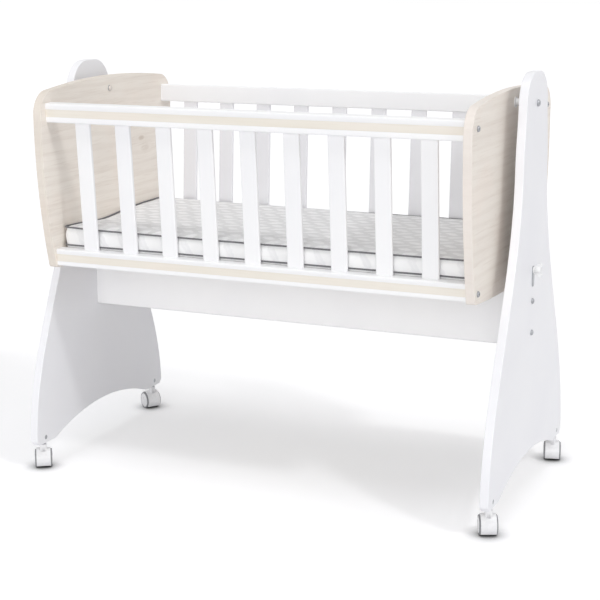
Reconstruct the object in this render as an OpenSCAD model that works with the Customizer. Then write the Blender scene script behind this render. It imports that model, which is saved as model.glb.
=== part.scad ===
/* [Mattress and cradle] */
// Length of the mattress
mattress_l = 908; // [700:1:1200]
// Width of the mattress
mattress_w = 428; // [360:2:520]
// Thickness of the mattress at its edge
mattress_h = 46.5; // [30:0.5:70]
// Rise of the mattress's crown above its edge
mattress_crown = 7; // [2:1:12]
// Room left between the mattress and each end panel
end_room = 3.5; // [3:0.5:20]
// Room left between the mattress and the slats on each side
side_room = 3.3; // [3:0.1:12]
// Lean of the slatted sides, outwards towards the top, in degrees
side_lean = 3.6; // [0:0.1:8]
// Diameter of the piping round the mattress
piping_d = 4.4; // [3:0.2:6]
// Lower piping above the mattress's underside
piping_rise = 3.8; // [2:0.1:10]

/* [End panels] */
// Thickness of the cradle's end panels
panel_t = 18; // [15:1:25]
// Height of the end panels
panel_h = 403; // [360:1:480]
// How far the panels reach past the top rails
panel_top_lip = 19; // [10:1:40]
// How far the panels reach past the bottom rails
panel_bottom_lip = 6.5; // [3:0.5:20]
// Radius of the panels' top corners
panel_top_r = 50; // [20:1:80]
// Radius of the panels' bottom corners
panel_bottom_r = 9; // [4:1:20]
// Rise of the panels' top edge at the middle
panel_top_crown = 13; // [4:1:25]
// Drop of the panels' bottom edge at the middle
panel_bottom_crown = 12; // [4:1:14]
// Length of the upright stretch below the panels' top corners
panel_straight = 25; // [10:1:50]

/* [Rails and slats] */
// Thickness of the rails
rail_t = 25; // [20:1:32]
// Height of the top rails
top_rail_h = 40; // [34:1:60]
// Height of the bottom rails
bottom_rail_h = 36; // [34:1:60]
// Top rail's top edge below the top of the panels
top_rail_drop = 39; // [30:1:70]
// Bottom rail's lower edge above the bottom of the panels
bottom_rail_rise = 16; // [14:1:40]
// Rounding of the rails' long edges
rail_r = 3; // [1:0.5:4]
// Rail bolts off the rails' middle lines, up at the top and down at the bottom
bolt_spread = 3.3; // [0:0.1:5]
// Number of slats on each side
slat_count = 9; // [7:1:11]
// Width of a slat
slat_w = 35; // [25:1:45]
// Thickness of a slat
slat_t = 8; // [6:0.5:9]
// Slats' outer face behind the rails' outer face
slat_setback = 14; // [10:0.5:14]
// Depth that a slat's end goes into its rail
slat_tenon = 8; // [5:0.5:10]
// Height of the inlay strips
inlay_h = 16; // [10:1:20]
// Thickness of the inlay strips
inlay_t = 2; // [1:0.5:3]

/* [Base] */
// Thickness of the base board under the mattress
base_t = 12; // [8:1:16]
// Width and height of the ledge strips under the base board
ledge_s = 15; // [12:1:18]

/* [Stand] */
// Thickness of the stand's boards
board_t = 18; // [15:1:25]
// Height of the stand ends' heads above the floor
stand_h = 882; // [860:1:960]
// Width of the stand ends across the feet
foot_w = 556; // [500:2:640]
// Width of the neck where the flare of the feet ends
neck_w = 177; // [150:1:220]
// Width of the head at the pivot
head_w = 152; // [130:2:170]
// Radius of the head's corners
head_r = 60; // [30:1:64]
// Height where the flare ends and the neck begins
neck_z = 700; // [640:1:740]
// Length of the flat under each foot
foot_l = 65; // [56:1:90]
// Chamfer at the outer corner of each foot
foot_chamfer = 10; // [4:1:16]
// Rise of the arch between the feet
arch_rise = 38; // [20:1:80]
// Pivot's centre below the top of the stand
pivot_drop = 62; // [50:1:80]
// Gap between each stand end and the cradle's panel
side_gap = 28; // [20:1:40]
// Top of the panels above the pivot
panel_above_pivot = 28; // [20:1:40]

/* [Stretcher] */
// Height of the stretcher board
stretcher_h = 110; // [90:1:160]
// Room between the stretcher and the cradle hanging above it
swing_room = 10; // [8:1:30]
// Distance between the two bolts at each end of the stretcher
stretcher_bolt_gap = 66; // [50:1:70]
// Stretcher's bolts above the middle of its height
stretcher_bolt_rise = 6; // [0:1:12]

/* [Fasteners] */
// Diameter of the joining bolts
bolt_d = 6; // [5:1:8]
// Diameter of the joining bolts' heads
bolt_head_d = 12; // [10:1:16]
// Diameter of the barrel nuts
barrel_d = 10; // [9:0.5:12]
// Distance of a barrel nut from the end of its rail or board
barrel_in = 34; // [24:1:40]
// Diameter of the dowels
dowel_d = 6; // [5:0.5:8]
// Diameter of the pivot bolts
pivot_d = 8; // [6:1:10]
// Diameter of the pivot spacers
spacer_d = 15; // [13:1:20]
// Diameter of the lock screws
lock_d = 6; // [5:0.5:7]
// Height of the lock screws above the bottom of the cradle's panels
lock_rise = 39; // [24:1:60]
// Height of the wings of the lock knobs
knob_span = 28; // [26:1:44]

/* [Casters] */
// Diameter of the caster wheels
wheel_d = 40; // [36:1:50]
// Width of one wheel
wheel_w = 13.5; // [11:0.5:15]
// Width of the web between the two wheels
web_w = 12; // [10:0.5:13]
// Width of the hood over the wheels
hood_w = 31; // [28:1:34]
// Hood above the top of the wheels
hood_rise = 3; // [2.5:0.5:5]
// Where the hood begins behind the wheels' top, in degrees round the axle from the rear
guard_from = 62; // [50:1:80]
// Where the hood ends at the front, in degrees round the axle from the rear
guard_to = 218; // [190:1:220]
// Offset of the wheels behind the stem
trail = 8; // [6:0.5:12]
// Foot above the top of the wheels
foot_rise = 18; // [16:1:24]
// Distance of the stems from the outer corner of the feet
stem_in = 34.5; // [28:0.5:40]
// Turn of the front left, front right, rear left and rear right casters, in degrees
caster_turn = [33, 24, 55, 15];

/* [Hidden] */

white = [0.95, 0.95, 0.94];
oak = [0.87, 0.80, 0.72];
steel = [0.68, 0.69, 0.71];
$fn = 48;

// clearances
fit = 0.05;        // between a part and its own hole, all round
seat = 0.3;        // between pieces that move on each other, along the pivot or stem
soft = 0.3;        // round the mattress
eps = 1;           // how far a cutter reaches past the face it cuts
skin = 6;          // wood left behind a hole that doesn't go through
hole_room = 1;     // free depth past the end of what goes into such a hole

// levels, from the floor up
foot_z = wheel_d + foot_rise;
pivot_z = stand_h - pivot_drop;
panel_top = pivot_z + panel_above_pivot;
panel_bottom = panel_top - panel_h;
rail_z = panel_bottom + bottom_rail_rise;
base_top = rail_z + bottom_rail_h;
base_bottom = base_top - base_t;
stretcher_top = panel_bottom - swing_room;
stretcher_bottom = stretcher_top - stretcher_h;
lock_z = panel_bottom + lock_rise;

// stations along the length, from the middle out
inner_half = mattress_l / 2 + end_room;
panel_x = inner_half + panel_t;
stand_x = panel_x + side_gap;
board_x = stand_x + board_t;
stem_x = stand_x + board_t / 2;

// the slatted side, seen in its own leaning plane: 0 is the rails' outer lower edge
slat_inner = slat_setback + slat_t;
rail_y = mattress_w / 2 + side_room + slat_inner / cos(side_lean) - bottom_rail_h * tan(side_lean);
side_h = (panel_top - top_rail_drop - rail_z) / cos(side_lean);
top_rail_low = side_h - top_rail_h;
slat_pitch = (2 * inner_half + slat_w) / (slat_count + 1);
// the rails' inner face at a height above the floor
function rail_inner_y(z) = rail_y - rail_t / cos(side_lean) + (z - rail_z) * tan(side_lean);
function side_y(y, z) = rail_y - y * cos(side_lean) + z * sin(side_lean);
function side_z(y, z) = rail_z + y * sin(side_lean) + z * cos(side_lean);

// end panel's widths
panel_top_half = rail_y + side_h * sin(side_lean) + panel_top_lip;
panel_bottom_half = rail_y + panel_bottom_lip;

// piping centre lines
piping_r = piping_d / 2;
piping_low = base_top + soft + piping_r + piping_rise;
piping_high = base_top + soft + mattress_h - piping_r;

foot_half = foot_w / 2;
arch_half = foot_half - foot_l - foot_chamfer;
arch_r = (arch_half * arch_half + arch_rise * arch_rise) / (2 * arch_rise);
stem_y = foot_half - stem_in;
stem_up = 28;
stem_top = foot_z + stem_up;
barrel_up = 13;
barrel_z = foot_z + barrel_up;
wheel_r = wheel_d / 2;
wheel_in = web_w / 2 + seat;

// ---- shared shapes ----

// points of half an outline and its mirror image, as one loop
function mirrored(half) =
  concat(half, [for (i = [len(half) - 1:-1:0]) if (abs(half[i][0]) > 0.001) [-half[i][0], half[i][1]]]);

// rounded rectangle from [x0, y0] to [x1, y1]
function rounded(x0, y0, x1, y1, r, steps = 4) = [
  for (c = [[x1 - r, y1 - r, 0], [x0 + r, y1 - r, 90], [x0 + r, y0 + r, 180], [x1 - r, y0 + r, 270]])
    for (i = [0:steps]) [c[0] + r * cos(c[2] + 90 * i / steps), c[1] + r * sin(c[2] + 90 * i / steps)]];

// a flat outline drawn in Y and Z, given a thickness along X from x0
module board(x0, t) {
  translate([x0, 0, 0]) rotate([90, 0, 90]) linear_extrude(t) children();
}

// a cylinder along +X from x0
module xrod(x0, y, z, r, l) {
  translate([x0, y, z]) rotate([0, 90, 0]) cylinder(r = r, h = l);
}

// what is drawn for the right end, at either end
module at_end(side) {
  if (side > 0) children();
  else mirror([1, 0, 0]) children();
}

// what is drawn for the front side in its leaning plane: Y runs inwards, Z up the side
module at_side(side) {
  if (side < 0) translate([0, -rail_y, rail_z]) rotate([side_lean, 0, 0]) children();
  else mirror([0, 1, 0]) translate([0, -rail_y, rail_z]) rotate([side_lean, 0, 0]) children();
}

// button head bolt along -X: its head stands on the plane x0, its shank runs inwards
module button_bolt(x0, y, z, d, head_d, l) {
  head_h = head_d * 0.3;
  difference() {
    union() {
      xrod(x0 - l, y, z, d / 2, l + head_h / 3);
      xrod(x0, y, z, head_d / 2, head_h / 2);
      translate([x0 + head_h / 2, y, z]) rotate([0, 90, 0])
        cylinder(r1 = head_d / 2, r2 = head_d / 2 - head_h * 0.45, h = head_h / 2);
    }
    translate([x0 + head_h * 0.3, y, z]) rotate([0, 90, 0]) cylinder(d = head_d * 0.38, h = head_h, $fn = 6);
  }
}

// ---- stand ----

// half width of a stand end above the feet's chamfer
function stand_half(z) =
  z < neck_z
    ? (foot_w + neck_w) / 4 + (foot_w - neck_w) / 4 * cos(180 * (z - foot_z) / (neck_z - foot_z))
    : (neck_w + head_w) / 4 + (neck_w - head_w) / 4 * cos(180 * (z - neck_z) / (stand_h - head_r - neck_z));

module stand_outline() {
  low = foot_z + foot_chamfer;
  high = stand_h - head_r;
  arch_a = asin(arch_half / arch_r);
  half = concat(
    [for (i = [0:12]) let (a = arch_a * i / 12)
      [arch_r * sin(a), foot_z + arch_rise - arch_r * (1 - cos(a))]],
    [[foot_half - foot_chamfer, foot_z]],
    [for (i = [0:32]) let (z = low + (high - low) * i / 32) [stand_half(z), z]],
    [for (i = [1:10]) [head_w / 2 - head_r + head_r * cos(9 * i), high + head_r * sin(9 * i)]]);
  polygon(mirrored(half));
}

stretcher_middle = (stretcher_top + stretcher_bottom) / 2;
function stretcher_bolt_z() =
  [for (s = [-1, 1]) stretcher_middle + stretcher_bolt_rise + s * stretcher_bolt_gap / 2];

module stand_end() {
  dowel_hole = board_t - skin;
  color(white) difference() {
    board(stand_x, board_t) stand_outline();
    xrod(stand_x - eps, 0, pivot_z, pivot_d / 2 + fit, board_t + 2 * eps);
    xrod(stand_x - eps, 0, lock_z, insert_r + fit, board_t + 2 * eps);
    for (z = stretcher_bolt_z()) xrod(stand_x - eps, 0, z, bolt_d / 2 + fit, board_t + 2 * eps);
    xrod(stand_x - eps, 0, stretcher_middle, dowel_d / 2 + fit, dowel_hole + eps);
    for (s = [-1, 1]) {
      xrod(stand_x - eps, s * stem_y, barrel_z, barrel_d / 2 + fit, board_t + 2 * eps);
      translate([stem_x, s * stem_y, foot_z - eps])
        cylinder(d = stem_d + 2 * fit, h = stem_top + 2 * hole_room - foot_z + eps);
    }
  }
}

module stand_end_left() { at_end(-1) stand_end(); }
module stand_end_right() { at_end(1) stand_end(); }

// the joining bolts go on past their barrel nuts
bolt_past = 3;
bolt_reach = barrel_in + barrel_d / 2 + bolt_past;
stretcher_dowel_l = 19;
board_edge_r = 1.5;
barrel_skin = 2;

module stretcher_board() {
  color(white) difference() {
    board(-stand_x, 2 * stand_x)
      polygon(rounded(-board_t / 2, stretcher_bottom, board_t / 2, stretcher_top, board_edge_r, 2));
    for (side = [-1, 1]) at_end(side) {
      for (z = stretcher_bolt_z()) {
        xrod(stand_x - bolt_reach - 2 * hole_room, 0, z, bolt_d / 2 + fit, bolt_reach + 2 * hole_room + eps);
        translate([stand_x - barrel_in, board_t / 2 + eps, z]) rotate([90, 0, 0])
          cylinder(d = barrel_d + 2 * fit, h = board_t - barrel_skin + eps);
      }
      xrod(stand_x - stretcher_dowel_l - hole_room, 0, stretcher_middle, dowel_d / 2 + fit,
        stretcher_dowel_l + hole_room + eps);
    }
  }
}

module stretcher_bolts() {
  color(steel) for (side = [-1, 1]) at_end(side)
    for (z = stretcher_bolt_z()) button_bolt(board_x, 0, z, bolt_d, bolt_head_d, board_t + bolt_reach);
}

// a barrel nut about its own middle, standing along Z, its thread along X
module barrel_nut(l, thread_d) {
  difference() {
    cylinder(d = barrel_d, h = l, center = true);
    rotate([0, 90, 0]) cylinder(d = thread_d + 2 * fit, h = barrel_d + 2 * eps, center = true);
  }
}

module stretcher_barrel_nuts() {
  l = board_t - 2 * barrel_skin;
  color(steel) for (side = [-1, 1]) at_end(side)
    for (z = stretcher_bolt_z())
      translate([stand_x - barrel_in, 0, z]) rotate([90, 0, 0]) barrel_nut(l, bolt_d);
}

module stretcher_dowels() {
  into_stand = board_t - skin - hole_room;
  color(oak) for (side = [-1, 1]) at_end(side)
    xrod(stand_x - stretcher_dowel_l, 0, stretcher_middle, dowel_d / 2, stretcher_dowel_l + into_stand);
}

// ---- pivot ----

bush_wall = 3;
bush_r = pivot_d / 2 + bush_wall;
bush_flange_t = 2;
bush_flange_r = bush_r + 3.5;
washer_t = 1;
washer_r = bush_r - 0.5;
cap_nut_r = 6.2;
cap_nut_h = 1.8;
cap_nut_dome = 2.8;
pivot_head_d = pivot_d + 6;
thread_out = cap_nut_h + 0.8;

module pivot_bolts() {
  l = board_t + side_gap + panel_t + washer_t + thread_out;
  color(steel) for (side = [-1, 1]) at_end(side) button_bolt(board_x, 0, pivot_z, pivot_d, pivot_head_d, l);
}

module pivot_spacers() {
  x0 = panel_x + bush_flange_t + seat;
  color(white) for (side = [-1, 1]) at_end(side) difference() {
    xrod(x0, 0, pivot_z, spacer_d / 2, stand_x - x0);
    xrod(x0 - eps, 0, pivot_z, pivot_d / 2 + fit, stand_x - x0 + 2 * eps);
  }
}

module pivot_bushes() {
  color("whitesmoke") for (side = [-1, 1]) at_end(side) difference() {
    union() {
      xrod(inner_half, 0, pivot_z, bush_r, panel_t + bush_flange_t / 2);
      xrod(panel_x, 0, pivot_z, bush_flange_r, bush_flange_t);
    }
    xrod(inner_half - eps, 0, pivot_z, pivot_d / 2 + fit, panel_t + bush_flange_t + 2 * eps);
  }
}

module pivot_washers() {
  color(steel) for (side = [-1, 1]) at_end(side) difference() {
    xrod(inner_half - seat - washer_t, 0, pivot_z, washer_r, washer_t);
    xrod(inner_half - seat - washer_t - eps, 0, pivot_z, pivot_d / 2 + fit, washer_t + 2 * eps);
  }
}

// a low round nut with a domed face, turned about the pivot
module pivot_cap_nuts() {
  x1 = inner_half - seat - washer_t;
  dome_r = (cap_nut_r * cap_nut_r + cap_nut_dome * cap_nut_dome) / (2 * cap_nut_dome);
  dome_a = asin(cap_nut_r / dome_r);
  hole_r = pivot_d / 2 + fit;
  depth = thread_out + seat;
  color("whitesmoke") for (side = [-1, 1]) at_end(side)
    translate([x1, 0, pivot_z]) rotate([0, -90, 0]) rotate_extrude() polygon(concat(
      [[0, depth], [hole_r, depth], [hole_r, 0], [cap_nut_r, 0]],
      [for (i = [6:-1:0]) let (a = dome_a * i / 6)
        [dome_r * sin(a), cap_nut_h + cap_nut_dome - dome_r * (1 - cos(a))]]));
}

// ---- swing lock ----

insert_wall = 2;
insert_r = lock_d / 2 + insert_wall;
plate_t = 1.5;
plate_half = 6;
plate_above = 8;
plate_below = 35;
screw_back = 3;
screw_point = 2;
knob_x = board_x + plate_t + seat;
knob_in = 10;
hub_r = insert_r + 1.5;
flange_r = hub_r + 1;
flange_t = 3;
wing_out = 17;
wing_t = 5;
wing_r = 4.5;

module lock_plates() {
  color(steel) for (side = [-1, 1]) at_end(side) difference() {
    board(board_x, plate_t)
      polygon(rounded(-plate_half, lock_z - plate_below, plate_half, lock_z + plate_above, plate_half - fit));
    xrod(board_x - eps, 0, lock_z, lock_d / 2 + 4 * fit, plate_t + 2 * eps);
  }
}

module lock_inserts() {
  color("goldenrod") for (side = [-1, 1]) at_end(side) difference() {
    xrod(stand_x, 0, lock_z, insert_r, board_t);
    xrod(stand_x - eps, 0, lock_z, lock_d / 2 + fit, board_t + 2 * eps);
  }
}

module lock_receivers() {
  l = panel_t - skin;
  color("goldenrod") for (side = [-1, 1]) at_end(side) difference() {
    xrod(panel_x - l, 0, lock_z, insert_r, l);
    xrod(panel_x - l - eps, 0, lock_z, lock_d / 2 + fit, l + 2 * eps);
  }
}

module lock_screw() {
  x0 = panel_x + screw_back;
  x1 = x0 + screw_point;
  color(steel) union() {
    xrod(x1, 0, lock_z, lock_d / 2, knob_x + knob_in - seat - x1);
    translate([x0, 0, lock_z]) rotate([0, 90, 0]) cylinder(d1 = lock_d * 0.6, d2 = lock_d, h = screw_point);
  }
}
module lock_screw_left() { at_end(-1) lock_screw(); }
module lock_screw_right() { at_end(1) lock_screw(); }

// a wing knob: round flange, hub and two upright wings that spread outwards
module lock_knob() {
  half = knob_span / 2;
  tip = [knob_x + wing_out + 1 - wing_r, half - wing_r];
  saddle_x = knob_x + wing_out - 3;
  upper = concat(
    [[saddle_x, hub_r - 1]],
    [for (i = [0:6]) [tip[0] + wing_r * cos(20 * i), tip[1] + wing_r * sin(20 * i)]],
    [[knob_x + flange_t + 1, tip[1]], [knob_x + 1, hub_r]]);
  color(white) difference() {
    union() {
      xrod(knob_x, 0, lock_z, flange_r, flange_t);
      xrod(knob_x, 0, lock_z, hub_r, wing_out - 2);
      translate([0, wing_t / 2, lock_z]) rotate([90, 0, 0]) linear_extrude(wing_t)
        polygon(concat(upper, [for (i = [len(upper) - 1:-1:0]) [upper[i][0], -upper[i][1]]]));
    }
    xrod(knob_x - eps, 0, lock_z, lock_d / 2 + fit, knob_in + eps);
  }
}
module lock_knob_left() { at_end(-1) lock_knob(); }
module lock_knob_right() { at_end(1) lock_knob(); }

// ---- cradle ends ----

module panel_outline() {
  low = panel_bottom + panel_bottom_crown + panel_bottom_r;
  high = panel_top - panel_top_crown - panel_top_r;
  widest = high - panel_straight;
  flat_b = panel_bottom_half - panel_bottom_r;
  flat_t = panel_top_half - panel_top_r;
  half = concat(
    [for (i = [0:8]) [flat_b * i / 8, panel_bottom + panel_bottom_crown * pow(i / 8, 2)]],
    [for (i = [1:4]) [flat_b + panel_bottom_r * sin(22.5 * i), low - panel_bottom_r * cos(22.5 * i)]],
    [for (i = [1:10]) let (k = 1 - i / 10)
      [panel_top_half - (panel_top_half - panel_bottom_half) * k * k, low + (widest - low) * i / 10]],
    [for (i = [0:9]) [flat_t + panel_top_r * cos(10 * i), high + panel_top_r * sin(10 * i)]],
    [for (i = [8:-1:0]) [flat_t * i / 8, panel_top - panel_top_crown * pow(i / 8, 2)]]);
  polygon(mirrored(half));
}

// places of the rails' bolts and dowels in the leaning plane: [Y, Z]
rail_mid_y = rail_t / 2;
dowel_off = 12;
rail_dowel_l = 15;
barrel_l = 14;
rail_middles = [bottom_rail_h / 2, top_rail_low + top_rail_h / 2];
bolt_places = [[rail_mid_y, rail_middles[0] - bolt_spread], [rail_mid_y, rail_middles[1] + bolt_spread]];
dowel_places = [[rail_mid_y, bolt_places[0][1] + dowel_off], [rail_mid_y, bolt_places[1][1] - dowel_off]];

module end_panel() {
  color(oak) difference() {
    board(inner_half, panel_t) panel_outline();
    xrod(inner_half - eps, 0, pivot_z, bush_r + fit, panel_t + 2 * eps);
    xrod(inner_half + skin, 0, lock_z, insert_r + fit, panel_t - skin + eps);
    for (s = [-1, 1]) {
      for (p = bolt_places)
        xrod(inner_half - eps, s * side_y(p[0], p[1]), side_z(p[0], p[1]),
          bolt_d / 2 + fit, panel_t + 2 * eps);
      for (p = dowel_places)
        xrod(inner_half - eps, s * side_y(p[0], p[1]), side_z(p[0], p[1]),
          dowel_d / 2 + fit, panel_t - skin + eps);
    }
  }
}
module end_panel_left() { at_end(-1) end_panel(); }
module end_panel_right() { at_end(1) end_panel(); }

// ---- rails, inlays and slats ----

slat_edge_r = 2.5;
function slat_x() = [for (i = [1:slat_count]) -inner_half - slat_w / 2 + slat_pitch * i];

// a rail from z0 up, with mortises opening at mortise_z
module rail(z0, h, mortise_z) {
  z_mid = z0 + h / 2;
  bolt_z = z0 == 0 ? bolt_places[0][1] : bolt_places[1][1];
  dowel_z = z0 == 0 ? dowel_places[0][1] : dowel_places[1][1];
  color(white) difference() {
    board(-inner_half, 2 * inner_half) polygon(rounded(0, z0, rail_t, z0 + h, rail_r));
    translate([-inner_half - eps, -eps, z_mid - inlay_h / 2 - fit])
      cube([2 * inner_half + 2 * eps, inlay_t + fit + eps, inlay_h + 2 * fit]);
    for (x = slat_x())
      translate([x - slat_w / 2 - fit, slat_setback - fit, mortise_z])
        cube([slat_w + 2 * fit, slat_t + 2 * fit, slat_tenon + eps + fit]);
    for (side = [-1, 1]) at_end(side) {
      xrod(inner_half - bolt_reach - 2 * hole_room, rail_mid_y, bolt_z, bolt_d / 2 + fit,
        bolt_reach + 2 * hole_room + eps);
      xrod(inner_half - rail_dowel_l - hole_room, rail_mid_y, dowel_z, dowel_d / 2 + fit,
        rail_dowel_l + hole_room + eps);
      translate([inner_half - barrel_in, rail_mid_y, z0 - eps])
        cylinder(d = barrel_d + 2 * fit, h = bolt_z - z0 + barrel_l / 2 + eps + seat);
    }
    if (z0 == 0) for (x = ledge_screw_x())
      translate([x, rail_t - screw_in - hole_room, ledge_screw_z]) rotate([-90, 0, 0])
        cylinder(d = screw_d + 2 * fit, h = screw_in + hole_room + eps);
  }
}

module top_rail(side) { at_side(side) rail(top_rail_low, top_rail_h, top_rail_low - eps); }
module bottom_rail(side) { at_side(side) rail(0, bottom_rail_h, bottom_rail_h - slat_tenon - fit); }
module top_rail_front() { top_rail(-1); }
module top_rail_rear() { top_rail(1); }
module bottom_rail_front() { bottom_rail(-1); }
module bottom_rail_rear() { bottom_rail(1); }

module inlay(side, z_mid) {
  color([0.91, 0.85, 0.75]) at_side(side) translate([-inner_half, 0, z_mid - inlay_h / 2])
    cube([2 * inner_half, inlay_t, inlay_h]);
}
module top_inlay_front() { inlay(-1, rail_middles[1]); }
module top_inlay_rear() { inlay(1, rail_middles[1]); }
module bottom_inlay_front() { inlay(-1, rail_middles[0]); }
module bottom_inlay_rear() { inlay(1, rail_middles[0]); }

module slats(side) {
  z0 = bottom_rail_h - slat_tenon;
  color(white) at_side(side) for (x = slat_x())
    translate([x, slat_setback, z0]) linear_extrude(top_rail_low + slat_tenon - z0)
      polygon(rounded(-slat_w / 2, 0, slat_w / 2, slat_t, slat_edge_r, 3));
}
module slats_front() { slats(-1); }
module slats_rear() { slats(1); }

module rail_bolts() {
  color(steel) for (end = [-1, 1]) at_end(end)
    for (s = [-1, 1])
      for (p = bolt_places)
        button_bolt(panel_x, s * side_y(p[0], p[1]), side_z(p[0], p[1]),
          bolt_d, bolt_head_d, panel_t + bolt_reach);
}

module rail_barrel_nuts() {
  color(steel) for (s = [-1, 1]) at_side(s)
    for (end = [-1, 1])
      for (p = bolt_places)
        translate([end * (inner_half - barrel_in), p[0], p[1]]) barrel_nut(barrel_l, bolt_d);
}

module rail_dowels() {
  color(oak) for (end = [-1, 1]) at_end(end)
    for (s = [-1, 1])
      for (p = dowel_places)
        xrod(inner_half - rail_dowel_l, s * side_y(p[0], p[1]), side_z(p[0], p[1]), dowel_d / 2,
          rail_dowel_l + panel_t - skin - hole_room);
}

// ---- base ----

screw_d = 4;
screw_in = 12;
screw_tip = 5;
screw_head_d = 8;
screw_head_t = 2;
ledge_end = 30;
ledge_l = 2 * (inner_half - ledge_end);
ledge_screw_z = (base_bottom - rail_z) / cos(side_lean) - ledge_s / 2 - rail_t * tan(side_lean);
ledge_screw_pitch = (ledge_l - 2 * ledge_end) / 4;
function ledge_screw_x() = [for (i = [-2:2]) i * ledge_screw_pitch];

board_room = 0.4;
module base_board() {
  half_x = inner_half - board_room;
  half_y = rail_inner_y(base_bottom) - board_room;
  color([0.93, 0.91, 0.86]) translate([-half_x, -half_y, base_bottom]) cube([2 * half_x, 2 * half_y, base_t]);
}

module ledge_strips() {
  top = base_bottom - fit;
  low = top - ledge_s;
  color(oak) difference() {
    for (s = [-1, 1])
      board(-ledge_l / 2, ledge_l) polygon([
        [s * rail_inner_y(top), top],
        [s * rail_inner_y(low), low],
        [s * (rail_inner_y(low) - ledge_s), low],
        [s * (rail_inner_y(low) - ledge_s), top]]);
    for (s = [-1, 1]) at_side(s) for (x = ledge_screw_x())
      translate([x, rail_t - eps, ledge_screw_z]) rotate([-90, 0, 0])
        cylinder(d = screw_d + 2 * fit, h = 2 * ledge_s);
  }
}

module ledge_screws() {
  under_head = screw_in + ledge_s + ledge_s * tan(side_lean) / 2 + seat;
  color(steel) for (s = [-1, 1]) at_side(s) for (x = ledge_screw_x())
    translate([x, rail_t - screw_in, ledge_screw_z]) rotate([-90, 0, 0]) {
      cylinder(d1 = screw_d / 4, d2 = screw_d, h = screw_tip);
      translate([0, 0, screw_tip]) cylinder(d = screw_d, h = under_head - screw_tip + eps);
      translate([0, 0, under_head]) cylinder(d = screw_head_d, h = screw_head_t);
    }
}

// ---- mattress ----

// the mattress's outline, drawn in a little between its corners, moved inwards by o
mattress_corner = 17;
mattress_pull = 1.5;
function mattress_loop(o) = let (
    hx = mattress_l / 2 - o,
    hy = mattress_w / 2 - o,
    r = max(mattress_corner - o * 0.3, 4),
    n = 7)
  [for (c = [[1, 1, 0], [-1, 1, 90], [-1, -1, 180], [1, -1, 270]])
    for (i = [0:n + 3])
      i <= n
        ? [c[0] * (hx - r) + r * cos(c[2] + 90 * i / n), c[1] * (hy - r) + r * sin(c[2] + 90 * i / n)]
        : let (k = (i - n) / 4, along = c[2] == 0 || c[2] == 180, pull = mattress_pull * sin(180 * k))
          along ? [c[0] * (hx - r) * (1 - 2 * k), c[1] * (hy - pull)]
                : [c[0] * (hx - pull), c[1] * (hy - r) * (1 - 2 * k)]];

// one skin through a stack of loops with as many points each, closed by a centre point at both ends
module skinned(loops, low_middle, high_middle) {
  n = len(loops[0]);
  m = len(loops);
  points = concat([for (l = loops) for (p = l) p], [low_middle, high_middle]);
  faces = concat(
    [for (j = [0:m - 2]) for (i = [0:n - 1]) let (a = j * n + i, b = j * n + (i + 1) % n) [a, a + n, b]],
    [for (j = [0:m - 2]) for (i = [0:n - 1]) let (a = j * n + i, b = j * n + (i + 1) % n) [b, a + n, b + n]],
    [for (i = [0:n - 1]) [m * n, i, (i + 1) % n]],
    [for (i = [0:n - 1]) [m * n + 1, (m - 1) * n + (i + 1) % n, (m - 1) * n + i]]);
  polyhedron(points, faces);
}

// the side is drawn in at both seams, and the top rises from the upper seam to the crown
module mattress() {
  z0 = base_top + soft;
  groove = piping_r + 0.6;
  mid = (piping_low + piping_high) / 2;
  rings = concat(
    [[14, z0], [groove, z0 + 1], [groove, piping_low + piping_r * 0.5], [0.4, piping_low + piping_r + 1.2],
      [-0.6, mid], [0.4, piping_high - piping_r - 1.2], [groove, piping_high - piping_r * 0.5]],
    [for (k = [[groove + 1, 0.05], [12, 0.35], [34, 0.62], [80, 0.86], [150, 0.98]])
      [k[0], z0 + mattress_h - 1 + mattress_crown * k[1]]]);
  color([0.80, 0.80, 0.80]) skinned(
    [for (g = rings) [for (p = mattress_loop(g[0])) [p[0], p[1], g[1]]]],
    [0, 0, z0], [0, 0, z0 + mattress_h - 1 + mattress_crown]);
}

module mattress_piping() {
  sides = 8;
  path = mattress_loop(-0.2);
  n = len(path);
  color([0.25, 0.25, 0.26]) for (z = [piping_low, piping_high]) polyhedron(
    [for (i = [0:n - 1])
      let (p = path[(i + n - 1) % n], q = path[(i + 1) % n], d = (q - p) / norm(q - p))
      for (k = [0:sides - 1]) let (a = 360 * k / sides)
        [path[i][0] + d[1] * piping_r * cos(a),
          path[i][1] - d[0] * piping_r * cos(a),
          z + piping_r * sin(a)]],
    [for (i = [0:n - 1]) for (k = [0:sides - 1])
      let (a = i * sides + k, b = i * sides + (k + 1) % sides,
        c = ((i + 1) % n) * sides + k, e = ((i + 1) % n) * sides + (k + 1) % sides)
      for (t = [[a, b, c], [b, e, c]]) t]);
}

// ---- casters ----

stem_d = 6;
collar_r = 6;
collar_t = 3;
axle_d = 4;
hood_r = wheel_r + hood_rise;
hood_top = wheel_d + hood_rise;
stem_down = 9;
stem_low = hood_top - stem_down;
boss_r = 8;
boss_down = 4;
boss_low = hood_top - boss_down;
boss_top = foot_z - collar_t - seat;
web_r = wheel_r - 1.5;
wheel_room = 0.9;
tyre_t = 3;
tyre_edge = 1;
cap_rise = 1.2;
cap_wall = 2.5;
tyre_w = wheel_w - cap_rise;
rim_r = wheel_r - tyre_t;

// corners of the stand: [side, depth, place in caster_turn]
corners = [[-1, -1, 0], [1, -1, 1], [-1, 1, 2], [1, 1, 3]];

module at_caster(c) {
  translate([c[0] * stem_x, c[1] * stem_y, 0]) rotate([0, 0, caster_turn[c[2]]]) children();
}

module foot_barrel_nuts() {
  color(steel) for (c = corners)
    translate([c[0] * stem_x, c[1] * stem_y, barrel_z]) rotate([0, 90, 0])
      barrel_nut(board_t - 2 * seat, stem_d);
}

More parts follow.
